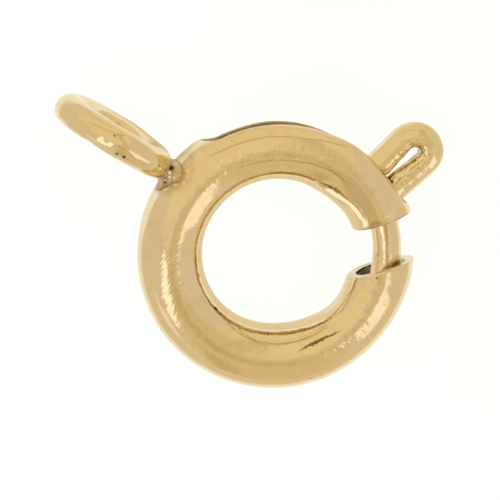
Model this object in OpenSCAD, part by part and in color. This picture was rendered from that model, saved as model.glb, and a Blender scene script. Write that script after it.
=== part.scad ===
// Spring ring clasp for a chain, lying on a flat surface.
// A tube bent into a ring has a saw cut across one side. A bent wire bolt closes the cut,
// and its hairpin trigger stands out through a slot in the tube's outer wall. A coil spring
// inside the tube holds the bolt shut, and an eyelet is soldered on at the back.
// The ring's centre is the origin. The eyelet lies along -X. Angles run counterclockwise
// from +X, in degrees, in the ring's own plane. Lengths are in millimetres.

/* [Ring] */
// Outer diameter of the ring
ring_od = 6.0; // [5.5:0.1:9]
// Outer diameter of the tube that is bent into the ring
tube_od = 1.4; // [1.3:0.05:1.7]
// Thickness of the tube's wall
wall = 0.18; // [0.12:0.01:0.2]

/* [Saw cut] */
// Width of the saw cut, between its two parallel faces
cut_w = 1.0; // [0.6:0.05:1.2]
// Direction in which the saw cut leaves the ring
cut_turn = 50.8; // [45:0.1:52]
// Distance of the saw cut's middle from the ring's centre, on its clockwise side
cut_offset = 0.5; // [0.3:0.01:0.6]

/* [Bolt] */
// Diameter of the wire where it runs in the tube
bolt_wire_d = 0.61; // [0.45:0.01:0.65]
// Play between the bolt and the outer side of the bore
bolt_play = 0.08; // [0.06:0.005:0.15]
// Length of the bolt that stays inside the lower mouth of the saw cut when shut
bolt_catch = 0.42; // [0.2:0.01:0.8]
// Length of the wire's tail, behind the trigger
tail_len = 0.3; // [0.15:0.05:0.6]
// Bend radius where the wire turns out to the trigger and back, on its centreline
elbow_r = 0.34; // [0.31:0.01:0.4]
// Radius of the rounded edge at the bolt's tip
tip_round = 0.12; // [0.04:0.01:0.18]

/* [Trigger] */
// Diameter of the wire where it is bent into the trigger
trigger_wire_d = 0.59; // [0.45:0.01:0.6]
// Where the trigger's round head stands when the bolt is shut
trigger_turn = 70.2; // [70:0.1:78]
// How far the trigger stands out past the tube
trigger_reach = 1.33; // [1:0.01:1.8]
// Bend radius of the round head, on the wire's centreline
head_r = 0.345; // [0.335:0.005:0.4]
// Lean of the trigger from the radial direction, away from the saw cut
trigger_lean = 7; // [0:0.5:12]
// Angle between the trigger's two legs
trigger_spread = 3; // [0:0.5:4]

/* [Slot] */
// Clearance between the trigger's wire and each side of the slot
slot_clearance = 0.04; // [0.04:0.01:0.1]
// Length of the slot, along the outer wall of the tube
slot_len = 5.4; // [4.4:0.1:5.6]

/* [Spring] */
// Diameter of the spring's wire
spring_wire_d = 0.12; // [0.08:0.01:0.14]
// Play between the coils and the bore
spring_play = 0.06; // [0.04:0.01:0.1]
// Play between each end of the spring and what it pushes on
spring_end_play = 0.04; // [0.03:0.01:0.1]
// Number of turns
spring_turns = 16; // [12:1:18]
// Where the bore is pinched shut to stop the spring
stop_turn = 186; // [180:1:200]
// Length of the pinched stretch
stop_len = 0.25; // [0.15:0.05:0.6]

/* [Eyelet] */
// Outer diameter of the eyelet
eyelet_od = 2.85; // [2.2:0.05:3.6]
// Diameter of the eyelet's wire
eyelet_wire_d = 0.67; // [0.5:0.01:0.8]
// Depth to which the eyelet is sunk into the tube's outer wall
eyelet_sink = 0.035; // [0.02:0.005:0.08]
// How far off the ring's middle line the eyelet stands, towards the trigger
eyelet_shift = 0.17; // [0:0.01:0.2]
// Turn of the eyelet out of the middle line
eyelet_yaw = 3; // [0:0.5:4]
// Width of the solder at the tube
solder_w = 1.0; // [0.8:0.05:1.2]
// Width of the solder where it ends on the eyelet
solder_end_w = 0.78; // [0.72:0.02:1]
// How far the solder runs up the eyelet, past the tube
solder_len = 0.3; // [0.15:0.01:0.5]

/* [Hidden] */
$fn = 96;

tube_r = tube_od / 2;
ring_r = ring_od / 2 - tube_r;
bore_r = tube_r - wall;
bore_edge = ring_r + bore_r;

eyelet_bend_r = (eyelet_od - eyelet_wire_d) / 2;
eyelet_x = ring_od / 2 + eyelet_od / 2 - eyelet_sink;

// The eyelet stands taller than the tube, so the clasp rests on the eyelet's lowest point and
// on the far side of the ring, leaning by this angle.
rest_lean = asin((eyelet_od / 2 - tube_r) / (ring_r + eyelet_x));

bolt_r = bolt_wire_d / 2;
bolt_path_r = bore_edge - bolt_play - bolt_r;
trigger_r = trigger_wire_d / 2;

// The saw cut's lower face, as an offset from the ring's centre along the cut's left normal
lower_face = -cut_w / 2 - cut_offset;
function arc_deg(length, r) = length / r * 180 / PI;
function polar(r, a) = r * [cos(a), sin(a)];
function angle_of(p) = atan2(p[1], p[0]);

lower_mouth = cut_turn + asin(lower_face / bolt_path_r);
bolt_tip = lower_mouth - arc_deg(bolt_catch, bolt_path_r);

// The trigger's two legs are tangent to its round head. Each leg has its own outward
// direction, and a normal that points from the head's centre to the leg.
head_centre = polar(ring_od / 2 + trigger_reach - trigger_r - head_r, trigger_turn);
front_dir = trigger_turn + trigger_lean - trigger_spread / 2;
back_dir = trigger_turn + trigger_lean + trigger_spread / 2;
front_normal = front_dir - 90;
back_normal = back_dir + 90;

// The distance along direction u from p to the circle of radius r about the ring's centre
function reach(p, u, r) = -(p * u) + sqrt(pow(p * u, 2) - p * p + r * r);
function on_circle(p, dir, r) = p + reach(p, polar(1, dir), r) * polar(1, dir);

// An elbow rounds the corner between a leg and the bolt's path, tangent to both.
function elbow_centre(dir, normal) =
    on_circle(head_centre + polar(head_r + elbow_r, normal), dir, bolt_path_r + elbow_r);
front_elbow = elbow_centre(front_dir, front_normal);
back_elbow = elbow_centre(back_dir, back_normal);
tail_start = angle_of(back_elbow);
tail_end = tail_start + arc_deg(tail_len, bolt_path_r);

// The slot starts where the front leg's near side passes the bore, less the clearance.
front_side = on_circle(head_centre + polar(head_r + trigger_r, front_normal), front_dir, bore_edge);
slot_start = angle_of(front_side) - arc_deg(slot_clearance, bore_edge);
slot_end = slot_start + arc_deg(slot_len, ring_od / 2);
slot_w = trigger_wire_d + 2 * slot_clearance;

stop_start = stop_turn - arc_deg(stop_len, ring_r) / 2;
stop_end = stop_turn + arc_deg(stop_len, ring_r) / 2;

spring_r = bore_r - spring_play - spring_wire_d / 2;
spring_end_deg = arc_deg(spring_end_play + spring_wire_d / 2, ring_r);
spring_from = tail_end + spring_end_deg;
spring_to = stop_start - spring_end_deg;

// How finely the bent wires are drawn: sides round a wire, and steps along each bend
wire_sides = 16;
tip_steps = 4;
bolt_steps = 20;
elbow_steps = 8;
head_steps = 18;
tail_steps = 3;
spring_sides = 6;
steps_per_turn = 14;
// Turn of the wire between two of its bends, where one row of points ends and the next starts
row_gap = 3;

// How far a cut reaches past the metal that it cuts
cut_margin = 0.5;
gold = [0.83, 0.69, 0.44];
steel = [0.72, 0.71, 0.69];

// Everything stands in the ring's own plane, then leans as the clasp rests.
module at_rest() {
    rotate([0, rest_lean, 0]) children();
}

module saw_cut() {
    rotate([0, 0, cut_turn])
        translate([ring_r - tube_r - cut_margin, lower_face, -tube_r - cut_margin])
            cube([tube_od + 2 * cut_margin, cut_w, tube_od + 2 * cut_margin]);
}

// The bore runs all the way round, but for the pinched stretch.
module bore() {
    rotate([0, 0, stop_end])
        rotate_extrude(angle = 360 + stop_start - stop_end)
            translate([ring_r, 0]) circle(r = bore_r);
}

// The slot has a square end at the saw cut's side and a round one at the back.
module slot() {
    round_at = slot_end - arc_deg(slot_w / 2, ring_od / 2);
    rotate([0, 0, slot_start])
        rotate_extrude(angle = round_at - slot_start)
            translate([ring_r, -slot_w / 2]) square([tube_r + cut_margin, slot_w]);
    rotate([0, 0, round_at])
        translate([ring_r, 0, 0])
            rotate([0, 90, 0]) cylinder(h = tube_r + cut_margin, d = slot_w);
}

// The eyelet was soldered on by hand, a little off the ring's middle line and turned out of it.
module at_eyelet() {
    translate([-eyelet_x, eyelet_shift, 0])
        rotate([0, 0, eyelet_yaw]) children();
}

module eyelet() {
    at_eyelet()
        rotate([90, 0, 0])
            rotate_extrude() translate([eyelet_bend_r, 0]) circle(d = eyelet_wire_d);
}

module solder() {
    at_eyelet()
        translate([eyelet_x - ring_r, 0, 0])
            rotate([0, -90, 0])
                cylinder(h = tube_r + solder_len, d1 = solder_w, d2 = solder_end_w);
}

// The ring, the eyelet and the solder are one piece of metal.
module ring_body() {
    color(gold)
        at_rest()
            difference() {
                union() {
                    rotate_extrude() translate([ring_r, 0]) circle(d = tube_od);
                    eyelet();
                    solder();
                }
                bore();
                saw_cut();
                slot();
            }
}

// A stretch of a bent wire's centreline, as rows of [x, y, heading, wire radius]. The heading
// turns from one angle to the other, and bend is negative where the wire bends to its right.
function bend_rows(centre, bend, from, to, steps, from_r, to_r) =
    [for (i = [0 : steps])
        let (heading = from + (to - from) * i / steps,
             p = centre + bend * [cos(heading - 90), sin(heading - 90)])
        [p[0], p[1], heading, from_r + (to_r - from_r) * i / steps]];

// The rounded edge of the bolt's tip
function tip_rows() =
    [for (i = [0 : tip_steps - 1])
        let (t = 90 * i / tip_steps,
             at = bolt_tip + arc_deg(tip_round * (1 - cos(t)), bolt_path_r),
             p = polar(bolt_path_r, at))
        [p[0], p[1], at + 90, bolt_r - tip_round * (1 - sin(t))]];

// One wire: the tip, the bolt, the front leg, the round head, the back leg and the tail
function bolt_rows() =
    let (front = angle_of(front_elbow) + 90,
         back = tail_start + 90,
         tip = bolt_tip + 90 + arc_deg(tip_round, bolt_path_r),
         tail = tail_end + 90)
    concat(
        tip_rows(),
        bend_rows([0, 0], bolt_path_r, tip, front, bolt_steps, bolt_r, bolt_r),
        bend_rows(front_elbow, -elbow_r, front - row_gap, front_dir, elbow_steps, bolt_r, trigger_r),
        bend_rows(head_centre, head_r, front_dir, back_dir + 180, head_steps, trigger_r, trigger_r),
        bend_rows(back_elbow, -elbow_r, back_dir + 180, back, elbow_steps, trigger_r, bolt_r),
        bend_rows([0, 0], bolt_path_r, back + row_gap, tail, tail_steps, bolt_r, bolt_r));

function ring_points(centre, normal, side, r, sides) =
    [for (k = [0 : sides - 1])
        centre + r * (cos(360 * k / sides) * normal + sin(360 * k / sides) * side)];

// A closed skin through rings of points, each ring with the same number of points
module skin(rings, sides) {
    last = (len(rings) - 1) * sides;
    side_faces = [for (i = [0 : len(rings) - 2], k = [0 : sides - 1])
        let (a = i * sides + k,
             b = i * sides + (k + 1) % sides)
        each [[a, b, b + sides], [a, b + sides, a + sides]]];
    start_face = [for (k = [sides - 1 : -1 : 0]) k];
    end_face = [for (k = [0 : sides - 1]) last + k];
    polyhedron([for (ring = rings) each ring], concat([start_face], side_faces, [end_face]));
}

module bolt() {
    color(gold)
        at_rest()
            skin([for (row = bolt_rows())
                let (left = [-sin(row[2]), cos(row[2]), 0])
                ring_points([row[0], row[1], 0], left, [0, 0, 1], row[3], wire_sides)],
                wire_sides);
}

// One ring of points round the spring's wire, at a share t of the way along it
function spring_section(t) =
    let (turn = spring_from + t * (spring_to - spring_from),
         coil = 360 * spring_turns * t,
         outward = [cos(turn), sin(turn), 0],
         along = [-sin(turn), cos(turn), 0],
         normal = cos(coil) * outward + sin(coil) * [0, 0, 1])
    ring_points(ring_r * outward + spring_r * normal, normal, along,
        spring_wire_d / 2, spring_sides);

module spring() {
    steps = spring_turns * steps_per_turn;
    color(steel)
        at_rest()
            skin([for (i = [0 : steps]) spring_section(i / steps)], spring_sides);
}

ring_body();
bolt();
spring();
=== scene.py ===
"""Looks of the spring ring clasp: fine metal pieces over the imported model, studio and camera."""

import math

import bpy
import numpy as np
from mathutils import Matrix, Vector


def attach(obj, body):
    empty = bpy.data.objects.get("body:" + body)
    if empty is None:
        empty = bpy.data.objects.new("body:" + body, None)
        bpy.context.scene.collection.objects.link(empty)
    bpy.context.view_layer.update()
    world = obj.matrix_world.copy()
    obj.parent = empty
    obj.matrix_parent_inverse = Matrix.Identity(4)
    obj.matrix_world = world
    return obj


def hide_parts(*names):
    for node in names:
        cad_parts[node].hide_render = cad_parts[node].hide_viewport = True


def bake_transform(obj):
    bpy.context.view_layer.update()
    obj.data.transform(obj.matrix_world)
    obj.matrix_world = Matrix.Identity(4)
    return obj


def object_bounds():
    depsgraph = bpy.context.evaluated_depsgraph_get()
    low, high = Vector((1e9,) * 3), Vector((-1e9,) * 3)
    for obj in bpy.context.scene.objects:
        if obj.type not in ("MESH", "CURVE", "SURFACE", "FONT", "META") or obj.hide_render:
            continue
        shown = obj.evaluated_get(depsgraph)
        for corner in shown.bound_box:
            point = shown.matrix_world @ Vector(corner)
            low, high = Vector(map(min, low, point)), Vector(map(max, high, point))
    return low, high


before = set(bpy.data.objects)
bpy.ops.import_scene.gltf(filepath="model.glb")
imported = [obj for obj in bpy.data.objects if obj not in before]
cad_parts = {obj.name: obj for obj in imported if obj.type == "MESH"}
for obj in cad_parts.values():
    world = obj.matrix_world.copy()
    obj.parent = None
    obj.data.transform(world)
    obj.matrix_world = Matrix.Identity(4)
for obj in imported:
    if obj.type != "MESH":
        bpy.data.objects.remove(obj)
cad_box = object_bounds()

# sizes, in mm and degrees
RING_R, TUBE_R, WALL = 2.3, 0.7, 0.18
BORE_R = TUBE_R - WALL
RING_OUT = RING_R + TUBE_R
BORE_EDGE = RING_R + BORE_R
CUT_TURN, UPPER_FACE, LOWER_FACE = 50.8, 0.0, -1.0
# The lower face leans as it was sawn, by this much for each mm of height
LOWER_FACE_LEAN = 0.045
BOLT_R, BOLT_PLAY, BOLT_CATCH, TAIL_LEN = 0.305, 0.08, 0.42, 0.3
ELBOW_R, BACK_ELBOW_R, TIP_ROUND = 0.34, 0.5, 0.12
TRIGGER_R, TRIGGER_TURN, TRIGGER_REACH, HEAD_R = 0.295, 70.2, 1.33, 0.345
TRIGGER_LEAN, TRIGGER_SPREAD = 7, 3
SLOT_HALF, SLOT_CLEAR, SLOT_LEN = 0.335, 0.04, 5.42
SPRING_WIRE_R, SPRING_R, SPRING_TURNS, SPRING_CLEAR = 0.06, 0.4, 16, 0.04
STOP_TURN, STOP_LEN = 186, 0.25
EYELET_R, EYELET_WIRE_R, EYELET_X = 1.09, 0.335, 4.39
EYELET_SHIFT, EYELET_YAW, EYELET_BOW = 0.17, 3, 0.027
LEAN = math.asin((EYELET_R + EYELET_WIRE_R - TUBE_R) / (RING_R + EYELET_X))
# The photograph's up direction, as an angle in the ring's plane
PHOTO_UP = 124.8
PATH_R = BORE_EDGE - BOLT_PLAY - BOLT_R


def rad(a):
    return np.radians(a)


def arc_deg(length, r):
    return math.degrees(length / r)


def polar(r, a):
    return np.array([r * math.cos(math.radians(a)), r * math.sin(math.radians(a))])


def angle_of(p):
    return math.degrees(math.atan2(p[1], p[0]))


def asin_deg(height, r):
    return np.degrees(np.arcsin(height / r))


def full_turn(count):
    return np.linspace(0, 360, count + 1)[:-1]


def smooth(lo, hi, x):
    t = np.clip((np.asarray(x, float) - lo) / (hi - lo), 0, 1)
    return t * t * (3 - 2 * t)


def window(x, start, full, last, end):
    """1 from full to last, 0 before start and after end, and smooth between."""
    return smooth(start, full, x) * smooth(end, last, x)


def bell(x, middle, width):
    return np.exp(-(((x - middle) / width) ** 2))


def from_axis(p):
    return np.hypot(p[..., 0], p[..., 1])


def off_ring(p):
    """How far points are from the middle of the ring's tube."""
    return np.hypot(from_axis(p) - RING_R, p[..., 2])


def gap_to(p, at):
    return np.linalg.norm(p - at, axis=-1)


def placed(p):
    """Points in the ring's own frame, in mm, to the clasp at rest, in metres."""
    p = np.asarray(p, float)
    c, s = math.cos(LEAN), math.sin(LEAN)
    x = p[..., 0] * c + p[..., 2] * s
    z = -p[..., 0] * s + p[..., 2] * c
    return np.stack([x, p[..., 1], z], -1) * 0.001


def at_eyelet(p):
    """Points about the eyelet's centre, in the ring's own frame: set off the middle line and turned."""
    p = np.asarray(p, float)
    c, s = polar(1, EYELET_YAW)
    x = p[..., 0] * c - p[..., 1] * s - EYELET_X
    return np.stack([x, p[..., 0] * s + p[..., 1] * c + EYELET_SHIFT, p[..., 2]], -1)


def from_eyelet(p):
    """The way back from at_eyelet."""
    c, s = polar(1, EYELET_YAW)
    x, y = p[..., 0] + EYELET_X, p[..., 1] - EYELET_SHIFT
    return np.stack([x * c + y * s, y * c - x * s, p[..., 2]], -1)


def waves(p, length, seed, count=7):
    """A smooth irregular height, mostly from -1 to 1, at points p, with bumps about this long."""
    rng = np.random.default_rng(seed)
    total = np.zeros(p.shape[:-1])
    for _ in range(count):
        k = rng.normal(size=3)
        k *= 2 * math.pi / length * rng.uniform(0.6, 1.5) / np.linalg.norm(k)
        total += np.sin(p @ k + rng.uniform(0, 2 * math.pi))
    return total / math.sqrt(count)


def grid_faces(rows, columns, closed_rows=False, closed_columns=True):
    """Four-sided faces between the points of a grid, which may be closed either way."""
    faces = []
    for i in range(rows if closed_rows else rows - 1):
        for k in range(columns if closed_columns else columns - 1):
            i2, k2 = (i + 1) % rows, (k + 1) % columns
            faces.append([i * columns + k, i * columns + k2, i2 * columns + k2, i2 * columns + k])
    return faces


def linked(name, data):
    obj = bpy.data.objects.new(name, data)
    bpy.context.scene.collection.objects.link(obj)
    return obj


def piece(name, points, faces, materials, kinds=None, wear=None):
    """A smooth-shaded mesh from points in mm, with each face's material and each point's wear."""
    mesh = bpy.data.meshes.new(name)
    mesh.from_pydata([tuple(v) for v in placed(points)], [], faces)
    for m in materials:
        mesh.materials.append(m)
    if kinds is not None:
        mesh.polygons.foreach_set("material_index", np.asarray(kinds, np.int32))
    mesh.polygons.foreach_set("use_smooth", np.ones(len(mesh.polygons), bool))
    for key, values in (wear or {}).items():
        layer = mesh.attributes.new(key, "FLOAT", "POINT")
        layer.data.foreach_set("value", np.asarray(values, np.float32))
    mesh.update()
    return linked(name, mesh)


# materials
class Nodes:
    """A short way to wire the nodes of a material or of the world."""

    def __init__(self, owner, coords="Object"):
        owner.use_nodes = True
        self.owner, self.tree = owner, owner.node_tree
        self.tree.nodes.clear()
        self.coords = self.add("TexCoord").outputs[coords]

    def add(self, kind, inputs=None, **settings):
        """A node. Each of its inputs, by name or number, is another node's output or a constant."""
        node = self.tree.nodes.new("ShaderNode" + kind)
        for key, value in settings.items():
            setattr(node, key, value)
        for key, value in (inputs or {}).items():
            if isinstance(value, bpy.types.NodeSocket):
                self.tree.links.new(value, node.inputs[key])
            else:
                node.inputs[key].default_value = value
        return node

    def math(self, op, a, b=0, clamp=False):
        return self.add("Math", {0: a, 1: b}, operation=op, use_clamp=clamp).outputs[0]

    def times(self, a, b, clamp=False):
        return self.math("MULTIPLY", a, b, clamp)

    def plus(self, a, b, clamp=False):
        return self.math("ADD", a, b, clamp)

    def vector(self, op, a, b, output="Vector"):
        return self.add("VectorMath", {0: a, 1: b}, operation=op).outputs[output]

    def noise(self, per_mm, detail, rough, distort=0, coords=None):
        inputs = {"Vector": coords or self.coords, "Scale": per_mm * 1000, "Detail": detail}
        return self.add("TexNoise", {**inputs, "Roughness": rough, "Distortion": distort}).outputs["Fac"]

    def span(self, value, lo, hi, out_lo=0, out_hi=1):
        """The value's smooth way from lo to hi, as a number from out_lo to out_hi."""
        inputs = {"Value": value, "From Min": lo, "From Max": hi, "To Min": out_lo, "To Max": out_hi}
        return self.add("MapRange", inputs, interpolation_type="SMOOTHSTEP").outputs["Result"]

    def mix(self, factor, a, b):
        return self.add("Mix", {0: factor, 6: a, 7: b}, data_type="RGBA").outputs[2]

    def wear(self, name):
        return self.add("Attribute", attribute_name=name).outputs["Fac"]

    def bump(self, height, microns, normal=None):
        inputs = {"Strength": 1, "Distance": microns * 1e-6, "Height": height}
        if normal is not None:
            inputs["Normal"] = normal
        return self.add("Bump", inputs).outputs["Normal"]

    def metal(self, colour, rough, normal, edge_tint=(1, 1, 1, 1)):
        """Make this material a metal."""
        bsdf = self.add("BsdfPrincipled", {"Base Color": colour, "Metallic": 1, "Roughness": rough,
                                           "Normal": normal, "Specular Tint": edge_tint})
        self.add("OutputMaterial", {"Surface": bsdf.outputs[0]})
        return self.owner

    def by_ray(self, mirrored, seen):
        """One shader for what the metal mirrors, and another for what the camera sees."""
        camera = self.add("LightPath").outputs["Is Camera Ray"]
        return self.add("MixShader", {0: camera, 1: mirrored, 2: seen}).outputs[0]


def rgb(r, g, b):
    return (r, g, b, 1.0)


GOLD = rgb(0.888, 0.755, 0.485)
GOLD_DEEP = rgb(0.86, 0.705, 0.415)
GOLD_PALE = rgb(0.905, 0.785, 0.54)
DARK = rgb(0.235, 0.155, 0.07)
DARK_REFLECTION_TINT = rgb(0.43, 0.29, 0.13)
DULL_GOLD = rgb(0.78, 0.6, 0.33)
SHINE = rgb(1, 0.9, 0.68)
TARNISH_AND_SHADE = rgb(0.52, 0.41, 0.23)
EDGE_TINT = rgb(1, 0.965, 0.88)
STEEL_LINES, STEEL_DIRT = (0.78, 0.76, 0.72), rgb(0.16, 0.13, 0.09)
SOLDER_BROWN, SOLDER_DARK = rgb(0.59, 0.445, 0.275), rgb(0.42, 0.305, 0.18)
SOLDER_SPECK, SOLDER_GLINT = rgb(0.85, 0.74, 0.56), rgb(1, 0.96, 0.85)
SOLDER_TONGUE, SOLDER_RIM = rgb(0.66, 0.575, 0.39), rgb(0.25, 0.165, 0.08)
SOLDER_PIT = rgb(0.045, 0.032, 0.02)

# Patches of colour on the gold: each noise's bumps to the mm, detail, roughness and distortion, its
# values where the patch starts and is full, how much it covers, its colour, and where it is, if not
# everywhere. The SHINE patches are painted glints, fine ones everywhere and sparks in hammered places,
# which also get dark specks.
GOLD_PATCHES = (
    (0.9, 3, 0.6, 0, 0.35, 0.68, 1, GOLD_PALE, None),
    (2.6, 4, 0.65, 0.4, 0.5, 0.8, 0.6, GOLD_DEEP, None),
    (26, 3, 0.65, 0, 0.5, 0.72, 0.6, GOLD_DEEP, None),
    (17, 4, 0.75, 0, 0.4, 0.25, 0.6, SHINE, None),
    (5, 3, 0.6, 0, 0.48, 0.7, 0.3, DULL_GOLD, None),
    (15, 2, 0.6, 0, 0.55, 0.66, 1, SHINE, "hammered"),
    (13, 2, 0.6, 0.6, 0.42, 0.33, 0.7, DULL_GOLD, "hammered"),
)


def gold(name, strokes, stroke_microns, peel=1, skew=0, ragged=4):
    """Polished gold plate: patches of other golds and painted glints, an uneven gloss, orange peel, and
    strokes along and around the piece, as many to the mm as given, slanted by skew. Painted on it by
    its attributes: marks (dark and ragged), stains and painted shade, wrinkles (rougher strokes),
    hammered places (rougher peel, and painted glints), and lines: dark ones (on the bolt painted shade
    and painted reflections), darker lines of painted dark reflection, and shine lines of painted
    highlight, each by its offset in half widths and its strength. Ragged breaks the dark lines up."""
    n = Nodes(bpy.data.materials.new(name))
    colour = GOLD
    for *noise, start, full, most, tint, where in GOLD_PATCHES:
        patch = n.span(n.noise(*noise), start, full, 0, most)
        if where:
            patch = n.times(patch, n.wear(where), clamp=True)
        colour = n.mix(patch, colour, tint)
    gloss = n.span(n.noise(1.7, 4, 0.6), 0.35, 0.75, 0.008, 0.04)
    speckle = n.math("SUBTRACT", n.noise(26, 3, 0.65), 0.5)

    def line(kind, jitter, broken):
        wobble = n.times(n.math("SUBTRACT", n.noise(7, 3, 0.6), 0.5), jitter)
        off = n.math("ABSOLUTE", n.plus(n.wear(kind + "_off"), wobble))
        off = n.plus(off, n.times(speckle, broken))
        return n.times(n.span(off, 1.05, 0.55), n.wear(kind + "_on"))

    pits = n.span(n.plus(n.wear("mark"), n.times(speckle, 0.8)), 0.42, 0.66)
    pits = n.times(pits, n.span(n.wear("mark"), 0.04, 0.16))
    # dark lines: marks, and on the bolt painted shade and painted reflections
    dark = n.math("MAXIMUM", pits, line("dark", 1.6, ragged))
    # painted dark reflections, drawn as darker lines
    darkened = n.times(line("darkened", 2.4, 2.6), n.span(n.noise(4, 3, 0.6), 0.25, 0.55, 0.45, 1))
    # painted highlights, drawn as shine lines
    shine = n.times(line("shine", 1, 3), n.span(n.noise(9, 3, 0.6), 0.35, 0.6, 0.35, 1))
    stain_and_shade = n.times(n.wear("stain_and_shade"), n.span(n.noise(7, 3, 0.6), 0.28, 0.62), clamp=True)
    for where, tint in ((stain_and_shade, TARNISH_AND_SHADE), (shine, SHINE), (darkened, DARK_REFLECTION_TINT), (dark, DARK)):
        colour = n.mix(where, colour, tint)
    gloss = n.plus(gloss, n.times(n.plus(stain_and_shade, dark), 0.2), clamp=True)
    # the normal: orange peel in patches, long waves, strokes, and pits under the marks
    where = n.span(n.noise(1, 2, 0.5), 0.38, 0.6, 0.35, 1)
    hammered = n.plus(where, n.times(n.wear("hammered"), 2.6))
    wrinkled = n.plus(n.times(where, 0.25), n.times(n.wear("wrinkle"), 2.4))
    normal = n.bump(n.times(n.noise(8, 1.6, 0.5), hammered), 3 * peel)
    normal = n.bump(n.noise(2.4, 1.5, 0.5), 2.6 * peel, normal)
    along, around = n.wear("along"), n.wear("around")
    along = n.times(n.plus(along, n.times(around, skew)), strokes[0])
    skin = n.add("CombineXYZ", {0: along, 1: n.times(around, strokes[1])})
    brushed = n.noise(0.001, 1.2, 0.5, 0.3, skin.outputs[0])
    normal = n.bump(n.times(brushed, wrinkled), stroke_microns, normal)
    normal = n.bump(n.math("SUBTRACT", 0, dark), 4, normal)
    return n.metal(colour, gloss, normal, EDGE_TINT)


def steel(name, tint, rough_lo, rough_hi, dirt):
    """Bare sawn or drawn metal: fine lines, a dull gloss and dirt in patches."""
    n = Nodes(bpy.data.materials.new(name))
    stretch = n.add("Mapping", {"Vector": n.coords, "Scale": (0.25, 0.25, 3)})
    lines = n.noise(16, 3, 0.6, 0, stretch.outputs["Vector"])
    shade = rgb(*(t * k for t, k in zip(tint, STEEL_LINES)))
    colour = n.mix(n.span(lines, 0.35, 0.7), rgb(*tint), shade)
    colour = n.mix(n.span(n.noise(4.2, 4, 0.65), 0.5, 0.74, 0, dirt), colour, STEEL_DIRT)
    rough = n.span(n.noise(3, 3, 0.6), 0.3, 0.7, rough_lo, rough_hi)
    return n.metal(colour, rough, n.bump(lines, 0.9, n.bump(n.noise(9, 2, 0.5), 0.7)))


def solder_metal(name):
    """Solder: grey brown and lumpy, with dark pits, bright specks, painted glints, and a smooth tongue on
    the ring; darker where it meets the ring.
    """
    n = Nodes(bpy.data.materials.new(name))
    clouds = n.noise(5.5, 4, 0.65)
    pits = n.plus(n.wear("mark"), n.times(n.math("SUBTRACT", clouds, 0.5), 0.5))
    colour = n.mix(n.span(clouds, 0.34, 0.66), SOLDER_BROWN, SOLDER_DARK)
    for where, tint in ((n.span(n.noise(8, 3, 0.6), 0.62, 0.7), SOLDER_SPECK),
                        (n.wear("stain_and_shade"), SOLDER_TONGUE),
                        (n.wear("darkened"), SOLDER_RIM),
                        (n.span(n.wear("shine"), 0.35, 0.6), SOLDER_GLINT),
                        (n.span(pits, 0.35, 0.7), SOLDER_PIT)):
        colour = n.mix(where, colour, tint)
    return n.metal(colour, n.span(clouds, 0.3, 0.7, 0.16, 0.36), n.bump(n.noise(9, 3, 0.55), 1.5))


gold_tube = gold("gold_tube", (12, 4), 1.8, skew=0.7)
gold_bolt = gold("gold_bolt", (3, 14), 1.5, ragged=1)
gold_eyelet = gold("gold_eyelet", (3, 6), 0.5, peel=0.8)
cut_steel = steel("cut_face", (0.94, 0.84, 0.62), 0.2, 0.34, 0.1)
# painted light: the bore's steel is lighter, standing in for the light that reaches into the bore
lightened_bore_steel = steel("bore_wall", (0.95, 0.88, 0.72), 0.36, 0.56, 0.15)
spring_steel = steel("spring_wire", (0.62, 0.6, 0.56), 0.18, 0.32, 0.3)
# The slot's lips take a darker steel: painted shade in the narrow slot
shaded_lip_metal = steel("slot_lip_shaded", (0.62, 0.51, 0.34), 0.38, 0.55, 0.15)
solder_grey = solder_metal("solder_metal")

# the bolt's path
front_dir = TRIGGER_TURN + TRIGGER_LEAN - TRIGGER_SPREAD / 2
back_dir = TRIGGER_TURN + TRIGGER_LEAN + TRIGGER_SPREAD / 2
head_centre = polar(RING_OUT + TRIGGER_REACH - TRIGGER_R - HEAD_R, TRIGGER_TURN)


def on_circle(p, direction, r):
    """Where the line from p in this direction meets a circle about the ring's centre."""
    u = polar(1, direction)
    return p + (-(p @ u) + math.sqrt((p @ u) ** 2 - p @ p + r * r)) * u


def elbow_centre(direction, normal, r):
    return on_circle(head_centre + polar(HEAD_R + r, normal), direction, PATH_R + r)


front_elbow = elbow_centre(front_dir, front_dir - 90, ELBOW_R)
back_elbow = elbow_centre(back_dir, back_dir + 90, BACK_ELBOW_R)
tail_end = angle_of(elbow_centre(back_dir, back_dir + 90, ELBOW_R)) + arc_deg(TAIL_LEN, PATH_R)
lower_mouth = CUT_TURN + asin_deg(LOWER_FACE, PATH_R)
bolt_tip = lower_mouth - arc_deg(BOLT_CATCH, PATH_R)
front_side = on_circle(head_centre + polar(HEAD_R + TRIGGER_R, front_dir - 90), front_dir, BORE_EDGE)
slot_start = angle_of(front_side) - arc_deg(SLOT_CLEAR, BORE_EDGE)
slot_end = slot_start + arc_deg(SLOT_LEN, RING_OUT)


# the tube
def photo_angle(theta):
    """An angle in the ring's plane as the photograph shows it, from 0 to 360."""
    return np.mod(theta - (PHOTO_UP - 90), 360)


# By photo angle, how far the inner side is pinched to a blunt corner or pressed flat
CRIMP = ([276, 290, 300, 310, 318.5, 322, 330, 340, 352],
         [0, 0.03, 0.065, 0.14, 0.172, 0.16, 0.108, 0.078, 0.06])
PRESSED = ([0, 17, 24, 30, 40, 56], [0.135, 0.13, 0.11, 0.088, 0.04, 0])
# How far out the arms' outer sides stand where they were sawn
UPPER_FLARE, LOWER_FLARE = 0.065, 0.028
# The upper arm's top is pressed flatter, and falls by this share towards its inner side
TOP_FALL = 0.1
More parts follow.
